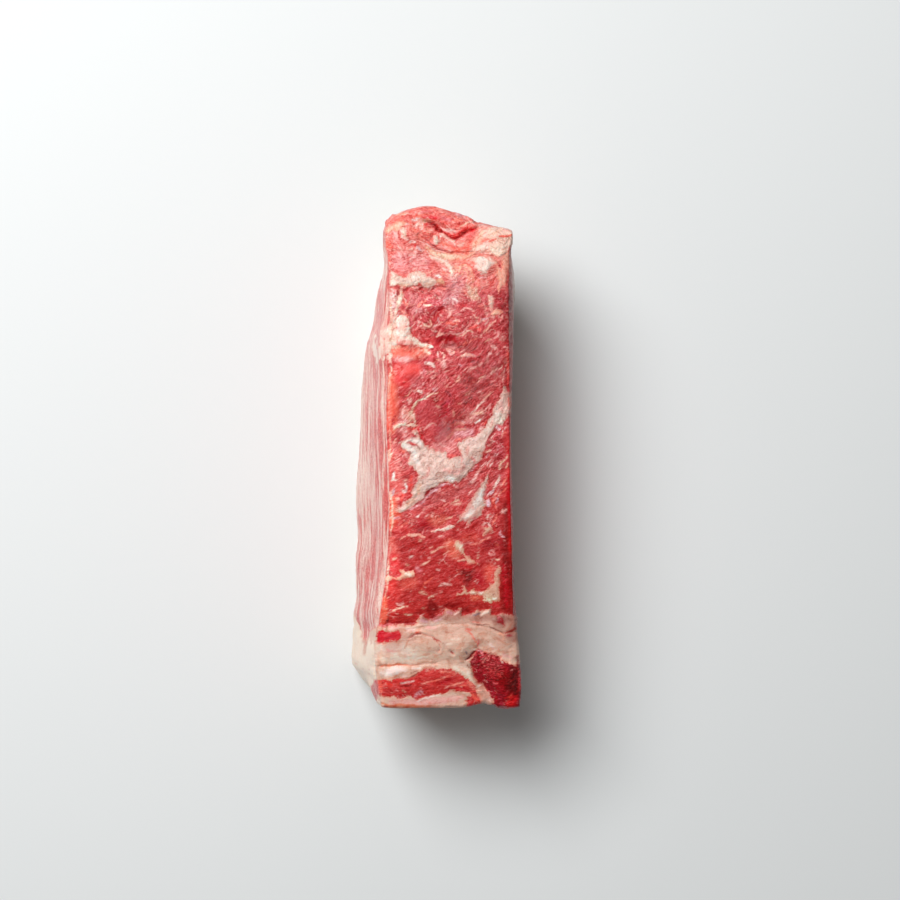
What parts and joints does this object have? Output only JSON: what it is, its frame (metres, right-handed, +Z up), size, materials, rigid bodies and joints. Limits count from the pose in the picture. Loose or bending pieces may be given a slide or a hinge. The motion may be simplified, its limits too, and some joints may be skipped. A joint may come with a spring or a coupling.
{
  "type": "raw sirloin steak",
  "caption": "Thick-cut raw sirloin steak of one solid piece, standing on its fat cap with the marbled upper side showing.",
  "frame": {"origin": "centre of the bounding box, at its bottom, where the fat cap rests on the surface", "axes": "+Z up from the fat cap to the upper side, +Y from the tail end to the chine end, +X from the left cut face to the right cut face"},
  "size_m": [0.0708, 0.2044, 0.0727],
  "materials": {
    "flesh": null
  },
  "bodies": {
    "root": {"steak": "flesh"}
  },
  "joints": []
}
